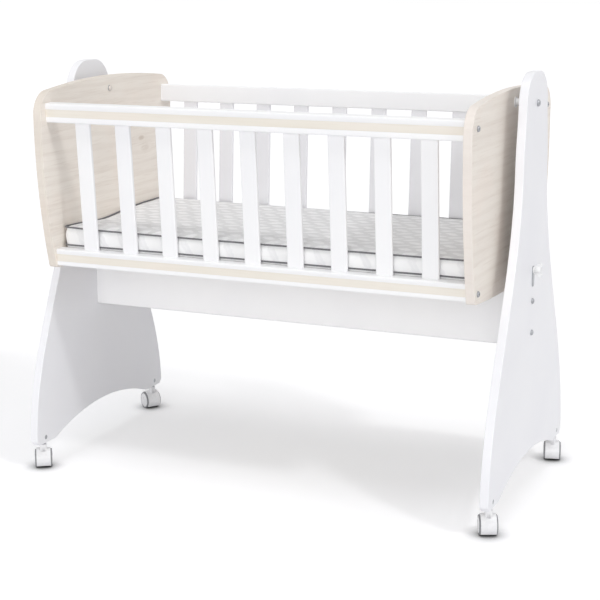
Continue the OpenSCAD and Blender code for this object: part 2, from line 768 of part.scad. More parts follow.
module caster_stems() {
  color(steel) for (c = corners) translate([c[0] * stem_x, c[1] * stem_y, 0]) {
    translate([0, 0, stem_low]) cylinder(d = stem_d, h = stem_top - stem_low);
    translate([0, 0, foot_z - collar_t]) cylinder(r = collar_r, h = collar_t);
  }
}

// hood: a mudguard over both wheels, closed at the front, on a web between them, with a boss for the stem
module hood(c) {
  color("white") at_caster(c) difference() {
    union() {
      translate([-hood_w / 2, 0, 0]) rotate([90, 0, 90]) linear_extrude(hood_w) polygon(concat(
        [[trail, wheel_r]],
        [for (i = [0:20]) let (a = guard_from + (guard_to - guard_from) * i / 20)
          [trail + hood_r * cos(a), wheel_r + hood_r * sin(a)]]));
      xrod(-web_w / 2, trail, wheel_r, web_r, web_w);
      translate([0, 0, boss_low]) cylinder(r = boss_r, h = boss_top - boss_low);
    }
    for (s = [0, 1]) mirror([s, 0, 0]) xrod(web_w / 2, trail, wheel_r, wheel_r + wheel_room, hood_w);
    translate([0, 0, stem_low - hole_room]) cylinder(d = stem_d + 2 * fit, h = foot_z - stem_low);
    xrod(-hood_w, trail, wheel_r, axle_d / 2 + fit, 2 * hood_w);
  }
}
module hood_front_left() { hood(corners[0]); }
module hood_front_right() { hood(corners[1]); }
module hood_rear_left() { hood(corners[2]); }
module hood_rear_right() { hood(corners[3]); }

module axle(c) {
  l = wheel_in + wheel_w - cap_wall - seat;
  color(steel) at_caster(c) xrod(-l, trail, wheel_r, axle_d / 2, 2 * l);
}
module axle_front_left() { axle(corners[0]); }
module axle_front_right() { axle(corners[1]); }
module axle_rear_left() { axle(corners[2]); }
module axle_rear_right() { axle(corners[3]); }

// both wheels of a caster, turned about the axle from an outline of [radius, distance from the web]
module turned_pair(c) {
  at_caster(c) for (s = [0, 1]) mirror([s, 0, 0])
    translate([wheel_in, trail, wheel_r]) rotate([0, 90, 0]) rotate_extrude() children();
}

// wheel body with a domed outer face round a shallow ring
module wheels(c) {
  color("white") turned_pair(c) polygon(concat(
    [[axle_d / 2 + fit, 0], [rim_r, 0], [rim_r, tyre_w]],
    [for (i = [1:5]) [rim_r * cos(14 * i), tyre_w + cap_rise * sin(18 * i)]],
    [[0, wheel_w], [0, wheel_w - cap_wall], [axle_d / 2 + fit, wheel_w - cap_wall]]));
}
module wheels_front_left() { wheels(corners[0]); }
module wheels_front_right() { wheels(corners[1]); }
module wheels_rear_left() { wheels(corners[2]); }
module wheels_rear_right() { wheels(corners[3]); }

module tyres(c) {
  color([0.35, 0.35, 0.36]) turned_pair(c) polygon([
    [rim_r + fit, 0], [wheel_r - tyre_edge, 0], [wheel_r, tyre_edge], [wheel_r, tyre_w - tyre_edge],
    [wheel_r - tyre_edge, tyre_w], [rim_r + fit, tyre_w]]);
}
module tyres_front_left() { tyres(corners[0]); }
module tyres_front_right() { tyres(corners[1]); }
module tyres_rear_left() { tyres(corners[2]); }
module tyres_rear_right() { tyres(corners[3]); }

stand_end_left();
stand_end_right();
stretcher_board();
stretcher_bolts();
stretcher_barrel_nuts();
stretcher_dowels();
pivot_bolts();
pivot_spacers();
pivot_washers();
pivot_cap_nuts();
pivot_bushes();
lock_plates();
lock_inserts();
lock_receivers();
lock_screw_left();
lock_screw_right();
lock_knob_left();
lock_knob_right();
end_panel_left();
end_panel_right();
top_rail_front();
top_rail_rear();
bottom_rail_front();
bottom_rail_rear();
top_inlay_front();
top_inlay_rear();
bottom_inlay_front();
bottom_inlay_rear();
slats_front();
slats_rear();
rail_bolts();
rail_barrel_nuts();
rail_dowels();
base_board();
ledge_strips();
ledge_screws();
mattress();
mattress_piping();
foot_barrel_nuts();
caster_stems();
hood_front_left();
hood_front_right();
hood_rear_left();
hood_rear_right();
axle_front_left();
axle_front_right();
axle_rear_left();
axle_rear_right();
wheels_front_left();
wheels_front_right();
wheels_rear_left();
wheels_rear_right();
tyres_front_left();
tyres_front_right();
tyres_rear_left();
tyres_rear_right();
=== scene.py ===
import math

import bmesh
import bpy
from mathutils import Matrix, Vector, noise


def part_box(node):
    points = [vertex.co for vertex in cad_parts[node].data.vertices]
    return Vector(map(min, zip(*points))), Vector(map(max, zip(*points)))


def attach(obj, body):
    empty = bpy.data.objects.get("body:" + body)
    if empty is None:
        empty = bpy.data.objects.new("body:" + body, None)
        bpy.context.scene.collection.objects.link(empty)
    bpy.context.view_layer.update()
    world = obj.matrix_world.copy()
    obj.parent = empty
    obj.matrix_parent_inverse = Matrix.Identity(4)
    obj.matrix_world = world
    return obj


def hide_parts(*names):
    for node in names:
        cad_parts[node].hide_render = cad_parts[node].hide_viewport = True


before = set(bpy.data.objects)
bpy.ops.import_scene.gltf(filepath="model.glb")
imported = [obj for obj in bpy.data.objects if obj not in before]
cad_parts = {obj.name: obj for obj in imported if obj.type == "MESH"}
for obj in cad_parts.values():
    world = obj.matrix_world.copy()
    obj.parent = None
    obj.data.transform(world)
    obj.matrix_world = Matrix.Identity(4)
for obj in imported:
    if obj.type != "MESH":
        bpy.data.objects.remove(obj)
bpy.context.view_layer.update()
print("frame loaded:", len(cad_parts), "nodes")

scene = bpy.context.scene
corners = ["front_left", "front_right", "rear_left", "rear_right"]
ends = ["left", "right"]
sides = ["front", "rear"]


def tone(red, green, blue):
    # a colour as it shows on a screen, 0 to 255, turned linear
    def linear(value):
        value /= 255
        return value / 12.92 if value <= 0.04045 else ((value + 0.055) / 1.055) ** 2.4

    return (linear(red), linear(green), linear(blue), 1)


class Finish:
    # a material being built up, with short names for the nodes it uses

    def __init__(self, name):
        self.material = bpy.data.materials.new(name)
        self.material.use_nodes = True
        self.tree = self.material.node_tree
        self.shader = self.tree.nodes["Principled BSDF"]
        self.coords = self.node("ShaderNodeTexCoord").outputs["Object"]

    def node(self, kind, **settings):
        made = self.tree.nodes.new(kind)
        for key, value in settings.items():
            setattr(made, key, value)
        return made

    def feed(self, socket, value):
        if isinstance(value, bpy.types.NodeSocket):
            self.tree.links.new(value, socket)
        else:
            socket.default_value = value

    def set(self, **values):
        for key, value in values.items():
            self.feed(self.shader.inputs[key.replace("_", " ")], value)

    def mapped(self, scale, turn=(0, 0, 0), shift=(0, 0, 0), vector=None):
        made = self.node("ShaderNodeMapping")
        self.feed(made.inputs["Vector"], vector or self.coords)
        made.inputs["Scale"].default_value = scale
        made.inputs["Rotation"].default_value = [math.radians(angle) for angle in turn]
        made.inputs["Location"].default_value = shift
        return made.outputs["Vector"]

    def maths(self, operation, first, second=0.0, third=0.0):
        made = self.node("ShaderNodeMath", operation=operation)
        for socket, value in zip(made.inputs, (first, second, third)):
            self.feed(socket, value)
        return made.outputs["Value"]

    def split(self, vector):
        made = self.node("ShaderNodeSeparateXYZ")
        self.feed(made.inputs["Vector"], vector)
        return made.outputs["X"], made.outputs["Y"], made.outputs["Z"]

    def noise(self, scale, detail=3, roughness=0.5, distortion=0, vector=None):
        made = self.node("ShaderNodeTexNoise")
        self.feed(made.inputs["Vector"], vector or self.coords)
        made.inputs["Scale"].default_value = scale
        made.inputs["Detail"].default_value = detail
        made.inputs["Roughness"].default_value = roughness
        made.inputs["Distortion"].default_value = distortion
        return made.outputs["Fac"]

    def bands(self, scale, distortion, detail, detailScale, vector):
        made = self.node("ShaderNodeTexWave", bands_direction="Z", wave_profile="SIN")
        self.feed(made.inputs["Vector"], vector)
        made.inputs["Scale"].default_value = scale
        made.inputs["Distortion"].default_value = distortion
        made.inputs["Detail"].default_value = detail
        made.inputs["Detail Scale"].default_value = detailScale
        return made.outputs["Fac"]

    def spread(self, value, low, high, newLow=0.0, newHigh=1.0, smooth=False):
        made = self.node("ShaderNodeMapRange")
        if smooth:
            made.interpolation_type = "SMOOTHSTEP"
        names = ("Value", "From Min", "From Max", "To Min", "To Max")
        for key, number in zip(names, (value, low, high, newLow, newHigh)):
            self.feed(made.inputs[key], number)
        return made.outputs["Result"]

    def mix(self, factor, first, second, blend="MIX"):
        made = self.node("ShaderNodeMix", data_type="RGBA", blend_type=blend)
        self.feed(made.inputs["Factor"], factor)
        self.feed(made.inputs[6], first)
        self.feed(made.inputs[7], second)
        return made.outputs[2]

    def bump(self, height, strength, distance, below=None):
        made = self.node("ShaderNodeBump")
        self.feed(made.inputs["Height"], height)
        made.inputs["Strength"].default_value = strength
        made.inputs["Distance"].default_value = distance
        if below is not None:
            self.feed(made.inputs["Normal"], below)
        return made.outputs["Normal"]


def lacquer(name, light, dark, roughness=0.36):
    # sprayed lacquer: faint clouding, soft orange peel
    finish = Finish(name)
    cloud = finish.spread(finish.noise(5, 4), 0.35, 0.65)
    finish.set(
        Base_Color=finish.mix(cloud, light, dark),
        Roughness=finish.spread(finish.noise(14, 5), 0.3, 0.7, roughness - 0.05, roughness + 0.06),
        Normal=finish.bump(finish.noise(420, 2), 0.05, 0.0006),
        Coat_Weight=0.12,
        Coat_Roughness=0.22,
    )
    return finish.material


def veneer(name, pale, deep, vein, knots=(), strength=1.0, along="Y", shift=0.0):
    # washed oak, its grain along one axis: clouds, thin fibres, short pores,
    # and rings that bend round the knots, each knot given as its y, z and size
    finish = Finish(name)
    turn = (0, 0, 0) if along == "Y" else (0, 0, 90)
    base = finish.mapped((1, 1, 1), turn=turn)
    x, y, z = finish.split(base)
    pull = 0.0
    spot = 0.0
    for knotY, knotZ, size in knots:
        across = finish.maths("DIVIDE", finish.maths("SUBTRACT", y, knotY), size * 2.1)
        up = finish.maths("DIVIDE", finish.maths("SUBTRACT", z, knotZ), size)
        square = finish.maths("MULTIPLY_ADD", across, across, finish.maths("MULTIPLY", up, up))
        near = finish.maths("DIVIDE", 1.0, finish.maths("ADD", square, 1.0))
        pull = finish.maths("MULTIPLY_ADD", finish.maths("MULTIPLY", up, near), size * 0.9, pull)
        spot = finish.maths("ADD", finish.spread(square, 0.05, 0.9, 1.0, 0.0, smooth=True), spot)
    bent = finish.node("ShaderNodeCombineXYZ")
    finish.feed(bent.inputs["X"], x)
    finish.feed(bent.inputs["Y"], y)
    finish.feed(bent.inputs["Z"], finish.maths("SUBTRACT", z, pull))
    offset = (shift, shift * 1.7, shift * 2.9)
    base = finish.mapped((1, 1, 1), shift=offset, vector=bent.outputs["Vector"])

    def stretched(scale, turn=0, shift=(0, 0, 0)):
        return finish.mapped(scale, turn=(turn, 0, 0), shift=shift, vector=base)

    clouds = finish.noise(1, 3, vector=stretched((5, 3, 17), turn=4))
    blush = finish.noise(1, 2, vector=stretched((6, 6, 9), shift=(3, 1, 7)))
    fibres = finish.noise(1, 4, 0.6, 0.3, vector=stretched((30, 9, 190), turn=3))
    rings = finish.bands(2.6, 7, 3, 0.8, stretched((3, 0.6, 5), turn=5))
    pores = finish.noise(1, 3, 0.6, vector=stretched((260, 24, 620)))
    colour = finish.mix(finish.spread(clouds, 0.34, 0.66), pale, deep)
    rosy = [part * amount for part, amount in zip(pale, (0.985, 0.955, 0.945))] + [1]
    colour = finish.mix(finish.spread(blush, 0.5, 0.7, 0.0, 0.7, smooth=True), colour, rosy)
    grain = (
        (fibres, 0.5, 0.78, 0.34),
        (rings, 0.55, 1.0, 0.12),
        (pores, 0.56, 0.72, 0.14),
    )
    for pattern, low, high, amount in grain:
        shown = finish.spread(pattern, low, high, smooth=True)
        colour = finish.mix(finish.maths("MULTIPLY", shown, amount * strength), colour, vein)
    if knots:
        mottled = finish.maths("MULTIPLY", spot, finish.spread(fibres, 0.42, 0.62, 0.12, 0.62))
        colour = finish.mix(mottled, colour, vein)
    finish.set(
        Base_Color=colour,
        Roughness=finish.spread(pores, 0.4, 0.7, 0.46, 0.58),
        Normal=finish.bump(pores, 0.1, 0.0004, below=finish.bump(fibres, 0.05, 0.0004)),
    )
    return finish.material


def plainWood(name, light, dark, along=(3, 40, 40)):
    # bare or faced timber that is mostly out of sight
    finish = Finish(name)
    grain = finish.noise(1, 5, 0.6, 0.6, vector=finish.mapped(along))
    finish.set(
        Base_Color=finish.mix(finish.spread(grain, 0.35, 0.68), light, dark),
        Roughness=finish.spread(grain, 0.3, 0.7, 0.5, 0.66),
        Normal=finish.bump(grain, 0.15, 0.0004),
    )
    return finish.material


def plating(name, colour, roughness, streaks=(900, 60, 60)):
    # drawn and plated metal with fine turning marks
    finish = Finish(name)
    marks = finish.noise(1, 3, vector=finish.mapped(streaks))
    duller = [part * 0.82 for part in colour[:3]] + [1]
    finish.set(
        Base_Color=finish.mix(finish.spread(finish.noise(60, 3), 0.3, 0.7), colour, duller),
        Metallic=1.0,
        Roughness=finish.spread(marks, 0.3, 0.7, roughness - 0.06, roughness + 0.08),
        Normal=finish.bump(marks, 0.06, 0.0002),
    )
    return finish.material


def moulding(name, light, dark, roughness, grainSize=1400, grain=0.05):
    # injection moulded plastic: even colour, a fine spark grain
    finish = Finish(name)
    finish.set(
        Base_Color=finish.mix(finish.spread(finish.noise(30, 3), 0.35, 0.65), light, dark),
        Roughness=finish.spread(finish.noise(90, 3), 0.3, 0.7, roughness - 0.05, roughness + 0.05),
        Normal=finish.bump(finish.noise(grainSize, 2), grain, 0.0003),
        Specular_IOR_Level=0.45,
    )
    return finish.material


def tread(name, light, dark):
    # soft grey rubber, a little dusty
    finish = Finish(name)
    dust = finish.noise(160, 4)
    finish.set(
        Base_Color=finish.mix(finish.spread(dust, 0.35, 0.65), light, dark),
        Roughness=finish.spread(dust, 0.3, 0.7, 0.62, 0.78),
        Normal=finish.bump(finish.noise(1600, 2), 0.15, 0.0003),
    )
    return finish.material


def leafMask(finish, vector, cell, slant, fullness):
    # staggered rows of leaning leaves with a midrib: 1 inside a leaf, 0 outside
    x, y, _ = finish.split(vector)
    rowed = finish.maths("DIVIDE", y, cell[1])
    row = finish.maths("FLOOR", rowed)
    odd = finish.maths("FLOORED_MODULO", row, 2.0)
    stagger = finish.maths("MULTIPLY", odd, 0.5)
    column = finish.maths("ADD", finish.maths("DIVIDE", x, cell[0]), stagger)
    across = finish.maths("SUBTRACT", finish.maths("FRACT", column), 0.5)
    up = finish.maths("SUBTRACT", finish.maths("FRACT", rowed), 0.5)
    lean = finish.spread(odd, 0, 1, slant, -slant)
    up = finish.maths("ADD", up, finish.maths("MULTIPLY", across, lean))
    taper = finish.maths("MULTIPLY", finish.maths("MULTIPLY", across, across), 4.2)
    half = finish.maths("MULTIPLY", finish.maths("SUBTRACT", 1.0, taper), fullness)
    inside = finish.maths("SUBTRACT", half, finish.maths("ABSOLUTE", up))
    leaf = finish.spread(inside, -0.03, 0.1, smooth=True)
    rib = finish.spread(finish.maths("ABSOLUTE", up), 0.0, 0.045, 0.55, 1.0, smooth=True)
    return finish.maths("MULTIPLY", leaf, rib)


def weaveHeight(finish, threads):
    # plain weave from two crossed waves, in threads a metre
    x, y, _ = finish.split(finish.mapped((threads, threads, threads)))
    warp = finish.maths("SINE", finish.maths("MULTIPLY", x, math.pi))
    weft = finish.maths("SINE", finish.maths("MULTIPLY", y, math.pi))
    return finish.maths("MULTIPLY", finish.maths("MULTIPLY", warp, weft), 0.5)


def coverCloth(name, ground, leaf, shade, cell, slant, fullness, upright=False):
    # jacquard cover with tone on tone leaves, a little uneven in their rows
    finish = Finish(name)
    turn = (90, 0, 0) if upright else (0, 0, 0)
    flat = finish.mapped((1, 1, 1), turn=turn)
    wobble = finish.node("ShaderNodeTexNoise")
    finish.feed(wobble.inputs["Vector"], finish.mapped((22, 22, 22)))
    wobble.inputs["Detail"].default_value = 2
    wavy = finish.node("ShaderNodeVectorMath", operation="MULTIPLY_ADD")
    finish.feed(wavy.inputs[0], wobble.outputs["Color"])
    wavy.inputs[1].default_value = (0.011, 0.011, 0.011)
    finish.feed(wavy.inputs[2], flat)
    mask = leafMask(finish, wavy.outputs["Vector"], cell, slant, fullness)
    patchy = finish.spread(finish.noise(26, 4), 0.35, 0.65)
    colour = finish.mix(mask, ground, leaf)
    colour = finish.mix(finish.maths("MULTIPLY", patchy, 0.35), colour, shade)
    weave = weaveHeight(finish, 1700)
    finish.set(
        Base_Color=colour,
        Roughness=finish.spread(mask, 0, 1, 0.9, 0.8),
        Sheen_Weight=0.12,
        Sheen_Roughness=0.5,
        Normal=finish.bump(weave, 0.18, 0.0004, below=finish.bump(mask, 0.35, 0.0008)),
    )
    return finish.material


def cordCloth(name, light, dark):
    # bias bound piping: a ribbed tape round a cord
    finish = Finish(name)
    ribs = weaveHeight(finish, 2200)
    finish.set(
        Base_Color=finish.mix(finish.spread(finish.noise(240, 3), 0.35, 0.65), light, dark),
        Roughness=finish.spread(finish.noise(300, 2), 0.3, 0.7, 0.78, 0.92),
        Sheen_Weight=0.15,
        Normal=finish.bump(ribs, 0.3, 0.0004),
    )
    return finish.material


# the oak panels' knots: y, z and size in metres
leftKnots = ((0.134, 0.694, 0.008), (0.15, 0.67, 0.012), (-0.09, 0.588, 0.005))
rightKnots = ((-0.118, 0.612, 0.004), (0.09, 0.71, 0.006))
# pale, deep and vein tones of each oak; ground, leaf and shade of the cover
oakTones = (tone(245, 238, 229), tone(238, 230, 221), tone(205, 190, 176))
paleEdge = (tone(239, 232, 225), tone(233, 225, 218), tone(214, 201, 190))
# the left panel's edging: the right edging's tones darkened as painted shade
edgeWithPaintedShade = (tone(231, 223, 213), tone(225, 216, 206), tone(205, 192, 179))
inlayTones = (tone(239, 234, 225), tone(234, 228, 217), tone(216, 205, 188))
topTones = (tone(223, 223, 224), tone(243, 243, 244), tone(215, 215, 217))
sideTones = (tone(246, 246, 246), tone(236, 236, 237), tone(239, 239, 240))
looks = {
    "white": lacquer("whiteLacquer", tone(241, 241, 244), tone(238, 238, 242)),
    "slat": lacquer("slatLacquer", tone(247, 247, 248), tone(244, 244, 246)),
    "oakLeft": veneer("oakLeft", *oakTones, leftKnots),
    "oakRight": veneer("oakRight", *oakTones, rightKnots, shift=0.37),
    "edgeLeft": veneer("oakEdgeLeftShaded", *edgeWithPaintedShade, strength=0.5),
    "edgeRight": veneer("oakEdgeRight", *paleEdge, strength=0.5),
    "inlay": veneer("oakInlay", *inlayTones, strength=0.5, along="X", shift=0.2),
    "base": plainWood("baseBoard", tone(240, 237, 230), tone(232, 227, 217)),
    "beech": plainWood("bareBeech", tone(226, 200, 160), tone(208, 176, 132)),
    "steel": plating("zincPlate", tone(176, 178, 182), 0.32),
    "brass": plating("turnedBrass", tone(214, 184, 112), 0.3),
    "cap": moulding("paleCap", tone(221, 213, 206), tone(213, 204, 197), 0.5),
    "nylon": moulding("whiteNylon", tone(240, 240, 240), tone(235, 235, 236), 0.42),
    "caster": moulding("casterWhite", tone(237, 237, 238), tone(232, 232, 234), 0.28, grain=0.03),
    "tyre": tread("greyTread", tone(152, 153, 156), tone(138, 139, 142)),
    "coverTop": coverCloth("coverTop", *topTones, (0.037, 0.031), 0.5, 0.34),
    "coverSide": coverCloth("coverSide", *sideTones, (0.05, 0.06), 1.4, 0.3, upright=True),
    "piping": cordCloth("darkPiping", tone(118, 118, 121), tone(104, 104, 108)),
}
print("materials made:", len(looks))


def nodeShape(node):
    # a merged copy of a CAD node, with its flat faces whole again
    shape = bmesh.new()
    shape.from_mesh(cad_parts[node].data)
    bmesh.ops.remove_doubles(shape, verts=shape.verts, dist=1e-6)
    bmesh.ops.dissolve_limit(
        shape,
        angle_limit=math.radians(0.6),
        verts=shape.verts,
        edges=shape.edges,
    )
    return shape


def roundEdges(shape, width, segments, shortest, sharpness=35):
    # ease the sharp edges, apart from those too short to take it
    edges = [
        edge
        for edge in shape.edges
        if edge.is_manifold
        and edge.calc_length() > shortest
        and edge.calc_face_angle() > math.radians(sharpness)
    ]
    bmesh.ops.bevel(
        shape,
        geom=edges,
        offset=width,
        offset_type="OFFSET",
        segments=segments,
        profile=0.5,
        affect="EDGES",
        clamp_overlap=True,
        material=-1,
    )


def addPiece(shape, name, body, materials, nodes, smoothTo=38, weighted=True):
    # a finished mesh made into a piece that rides on its body and stands for its CAD nodes
    mesh = bpy.data.meshes.new(name)
    shape.to_mesh(mesh)
    shape.free()
    mesh.polygons.foreach_set("use_smooth", [True] * len(mesh.polygons))
    mesh.set_sharp_from_angle(angle=math.radians(smoothTo))
    for material in materials:
        mesh.materials.append(looks[material])
    piece = bpy.data.objects.new(name, mesh)
    scene.collection.objects.link(piece)
    if weighted:
        level = piece.modifiers.new("levelNormals", "WEIGHTED_NORMAL")
        level.keep_sharp = True
    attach(piece, body)
    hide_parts(*nodes)


def softened(node, body, materials, width=0, pick=None, segments=3, shortest=0.002):
    # a CAD node again, with its edges eased by the given width and a better finish
    shape = nodeShape(node)
    if width:
        roundEdges(shape, width, segments, shortest)
    if pick:
        for face in shape.faces:
            face.material_index = pick(face)
    addPiece(shape, node + "_finished", body, materials, [node])


boards = {"standEdge": 0.0014, "panelEdge": 0.001, "stretcherEdge": 0.0012}
for end in ends:
    softened("stand_end_" + end, "stand", ["white"], boards["standEdge"])
    softened(
        "end_panel_" + end,
        "cradle",
        ["oak" + end.title(), "edge" + end.title()],
        boards["panelEdge"],
        pick=lambda face: 0 if abs(face.normal.x) > 0.9 else 1,
    )
# the stretcher, a board like the stand ends, takes the brighter slat white as painted light
# against the cradle's shade over it
softened("stretcher_board", "stand", ["slat"], boards["stretcherEdge"])
print("boards made")


# the front slats take the bright slat white; the rear slats, lacquered alike, take the duller
# stand white as painted shade
rails = {"inlayEdge": 0.0005, "slatPaintWithRearShade": {"front": "slat", "rear": "white"}}
for side in sides:
    for level in ("top", "bottom"):
        softened(f"{level}_rail_{side}", "cradle", ["slat"])
        inlay = f"{level}_inlay_{side}"
        softened(inlay, "cradle", ["inlay"], rails["inlayEdge"], shortest=0.001)
    softened("slats_" + side, "cradle", [rails["slatPaintWithRearShade"][side]])
print("rails and slats made")


hardware = {"boltEdge": 0.0003, "knobEdge": 0.0012}
for node, body, look, slot in (
    ("stretcher_bolts", "stand", "steel", "zinc_steel"),
    ("pivot_bolts", "stand", "steel", "zinc_steel"),
    ("pivot_cap_nuts", "stand", "cap", "white_nylon"),
    ("pivot_washers", "stand", "steel", "zinc_steel"),
    ("lock_plates", "stand", "steel", "zinc_steel"),
    ("rail_bolts", "cradle", "steel", "zinc_steel"),
    ("pivot_spacers", "stand", "nylon", "white_nylon"),
    ("pivot_bushes", "cradle", "nylon", "white_nylon"),
):
    softened(node, body, [look], hardware["boltEdge"], segments=2, shortest=0.0004)
for end in ends:
    lock, knob = "lock_" + end, "lock_knob_" + end
    softened(knob, lock, ["nylon"], hardware["knobEdge"], shortest=0.001)
    softened("lock_screw_" + end, lock, ["steel"])
print("fasteners made")


casters = {"hoodEdge": 0.0007}
for corner in corners:
    caster, hood, wheels = "caster_" + corner, "hood_" + corner, "wheels_" + corner
    softened(hood, caster, ["caster"], casters["hoodEdge"], shortest=0.0008)
    softened("axle_" + corner, caster, ["steel"])
    softened(wheels, wheels, ["caster"])
    softened("tyres_" + corner, wheels, ["tyre"])
print("casters made")


mattress = {
    "cornerRadius": 0.015,
    "startInset": 0.0015,  # how far inside the CAD solid's sides the cover starts
    "voxel": 0.006,
    "clothQuality": 2,
    "clothMass": 0.3,
    "clothTension": 12,
    "clothBending": 0.4,
    "pressure": 4.0,
    "frames": 16,
    "mostMove": 0.0018,  # the furthest that the simulation may move a point
    "seamWidth": 0.005,  # held points lie this near a seam's height,
    "seamDepth": 0.008,  # this near the outline,
    "heldFoot": 0.002,  # or this near the foot
    "lidEdge": 0.006,  # the top reaches this far below its seam,
    "lidDepth": 0.008,  # and its cloth this far
    "lidSlope": 0.6,
    "crown": 0.0085,
    "sideReach": 0.0125,
    "endReach": 0.034,
    "crownLoss": 0.0042,  # what the crown loses on the way to the right
    "lossReach": 0.7,
    "swell": 0.0009,
    "swellPitch": 7,
    "looseReach": 0.01,
    "sideDepth": 0.006,
    "longBulge": 0.0028,
    "endBulge": 0.0022,
    "ripple": 0.0006,
    "rippleLength": 0.05,
    "puckerReach": 0.012,
    "footDepth": 0.007,
    "footInset": 0.0022,
    "footHeight": 0.004,
    "sag": 0.009,  # the left end's dip: depth, middle, width and reach
    "sagAt": -0.055,
    "sagWidth": 0.095,
    "sagReach": 0.25,
    "drop": 0.005,  # how far the top seam falls on the way to the right
    "dropReach": 0.15,
}
coverLow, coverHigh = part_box("mattress")
cordLow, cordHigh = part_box("mattress_piping")
cadCord = 0.0022  # the cord's radius in the CAD
lowSeam = cordLow.z + cadCord
highSeam = cordHigh.z - cadCord
seamMiddle = (lowSeam + highSeam) / 2


def mattressStart():
    # a block a little inside the CAD solid, with round upright corners
    size = coverHigh - coverLow
    inset = 2 * mattress["startInset"]
    block = (size.x - inset, size.y - inset, highSeam - coverLow.z)
    shape = bmesh.new()
    bmesh.ops.create_cube(shape, size=1)
    bmesh.ops.scale(shape, vec=block, verts=shape.verts)
    bmesh.ops.translate(shape, vec=(0, 0, (highSeam + coverLow.z) / 2), verts=shape.verts)
    upright = [edge for edge in shape.edges if edge.verts[0].co.z != edge.verts[1].co.z]
    bmesh.ops.bevel(
        shape,
        geom=upright,
        offset=mattress["cornerRadius"],
        offset_type="OFFSET",
        segments=8,
        profile=0.5,
        affect="EDGES",
        material=-1,
    )
    return shape


def fromOutline(point):
    # how far a point lies inside the mattress's outline, seen from above, and the way out
    corner = mattress["cornerRadius"]
    overX, overY = abs(point.x) - coverHigh.x + corner, abs(point.y) - coverHigh.y + corner
    over = Vector((overX, overY, 0))
    if over.x > 0 and over.y > 0:
        inside, out = corner - over.length, over.normalized()
    elif over.x > over.y:
        inside, out = corner - over.x, Vector((1, 0, 0))
    else:
        inside, out = corner - over.y, Vector((0, 1, 0))
    return inside, Vector((math.copysign(out.x, point.x), math.copysign(out.y, point.y), 0))


def sagAt(point):
    # how far the top seam hangs: at the left end in its front part, and a little to the right
    fromLeft = max(0.0, coverHigh.x + point.x)
    nearEnd = max(0.0, 1 - fromLeft / mattress["sagReach"])
    along = (point.y - mattress["sagAt"]) / mattress["sagWidth"]
    atEnd = mattress["sag"] * nearEnd**2 * math.exp(-along * along)
    return atEnd + mattress["drop"] * (1 - math.exp(-fromLeft / mattress["dropReach"]))


def crownAt(point):
    # how far the top stands above its seam, fullest towards the left end
    inset = mattress["startInset"]
    fromSide = max(0.0, coverHigh.y - inset - abs(point.y)) / mattress["sideReach"]
    fromEnd = max(0.0, coverHigh.x - inset - abs(point.x)) / mattress["endReach"]
    worn = min(1.0, (coverHigh.x + point.x) / mattress["lossReach"])
    height = mattress["crown"] - mattress["crownLoss"] * worn
    return height * (1 - math.exp(-fromSide)) * (1 - math.exp(-fromEnd))


def settleCover(piece):
    # blow the cover up a little, held along both seams, and keep each point within its allowance
    held = piece.vertex_groups.new(name="held")
    seams = []
    for vertex in piece.data.vertices:
        offSeam = min(abs(vertex.co.z - lowSeam), abs(vertex.co.z - highSeam))
        nearOutline = fromOutline(vertex.co)[0] < mattress["seamDepth"]
        atSeam = offSeam < mattress["seamWidth"] and nearOutline
        if vertex.co.z < coverLow.z + mattress["heldFoot"] or atSeam:
            seams.append(vertex.index)
    held.add(seams, 1.0, "REPLACE")
    started = [vertex.co.copy() for vertex in piece.data.vertices]
    cloth = piece.modifiers.new("cloth", "CLOTH")
    cloth.settings.quality = mattress["clothQuality"]
    cloth.settings.mass = mattress["clothMass"]
    cloth.settings.tension_stiffness = mattress["clothTension"]
    cloth.settings.compression_stiffness = mattress["clothTension"]
    cloth.settings.bending_stiffness = mattress["clothBending"]
    cloth.settings.use_pressure = True
    cloth.settings.uniform_pressure_force = mattress["pressure"]
    cloth.settings.vertex_group_mass = "held"
    cloth.settings.effector_weights.gravity = 0
    cloth.point_cache.frame_start, cloth.point_cache.frame_end = 1, mattress["frames"]
    for step in range(1, mattress["frames"] + 1):
        scene.frame_set(step)
    moved = piece.evaluated_get(bpy.context.evaluated_depsgraph_get()).to_mesh()
    settled = [vertex.co.copy() for vertex in moved.vertices]
    piece.modifiers.remove(cloth)
    scene.frame_set(1)
    most = mattress["mostMove"]
    for vertex, start, end in zip(piece.data.vertices, started, settled):
        shift = end - start
        if shift.length > 1e-9:
            vertex.co = start + shift.normalized() * most * math.tanh(shift.length / most)


def shapeCover(piece):
    # crown the top from its seam, bulge the sides between the seams, pucker the cloth beside
    # them and keep the foot square; each noise is told apart by its own third number
    length, reach, pitch = (mattress[key] for key in ("rippleLength", "puckerReach", "swellPitch"))
    for vertex in piece.data.vertices:
        point = vertex.co
        inside, out = fromOutline(point)
        if point.z > highSeam - mattress["lidEdge"]:
            beside = max(0.0, 1 - abs(inside - reach) / reach)
            wave = noise.noise(Vector((point.x / length, point.y / length, 11.3)))
            pucker = mattress["ripple"] * beside * wave
            wave = noise.noise(Vector((point.x * pitch, point.y * pitch, 2.1)))
            swell = mattress["swell"] * wave
            loose = min(1, max(0, inside) / mattress["looseReach"])
            point.z += crownAt(point) + (swell + 2 * pucker) * loose - sagAt(point)
        elif inside < mattress["sideDepth"] and point.z > lowSeam - mattress["heldFoot"]:
            fullness = max(0.0, 1 - ((point.z - seamMiddle) / ((highSeam - lowSeam) / 2)) ** 2)
            wave = noise.noise(Vector((point.x / length, point.y / length, 7.7)))
            bulge = mattress["longBulge"] * abs(out.y) + mattress["endBulge"] * abs(out.x)
            point += out * fullness * (bulge + mattress["ripple"] * wave)
            point.z -= sagAt(point) * max(0.0, (point.z - lowSeam) / (highSeam - lowSeam))
        elif inside < mattress["footDepth"]:
            point += out * (inside - mattress["footInset"])
            if point.z < coverLow.z + mattress["footHeight"]:
                point.z = coverLow.z


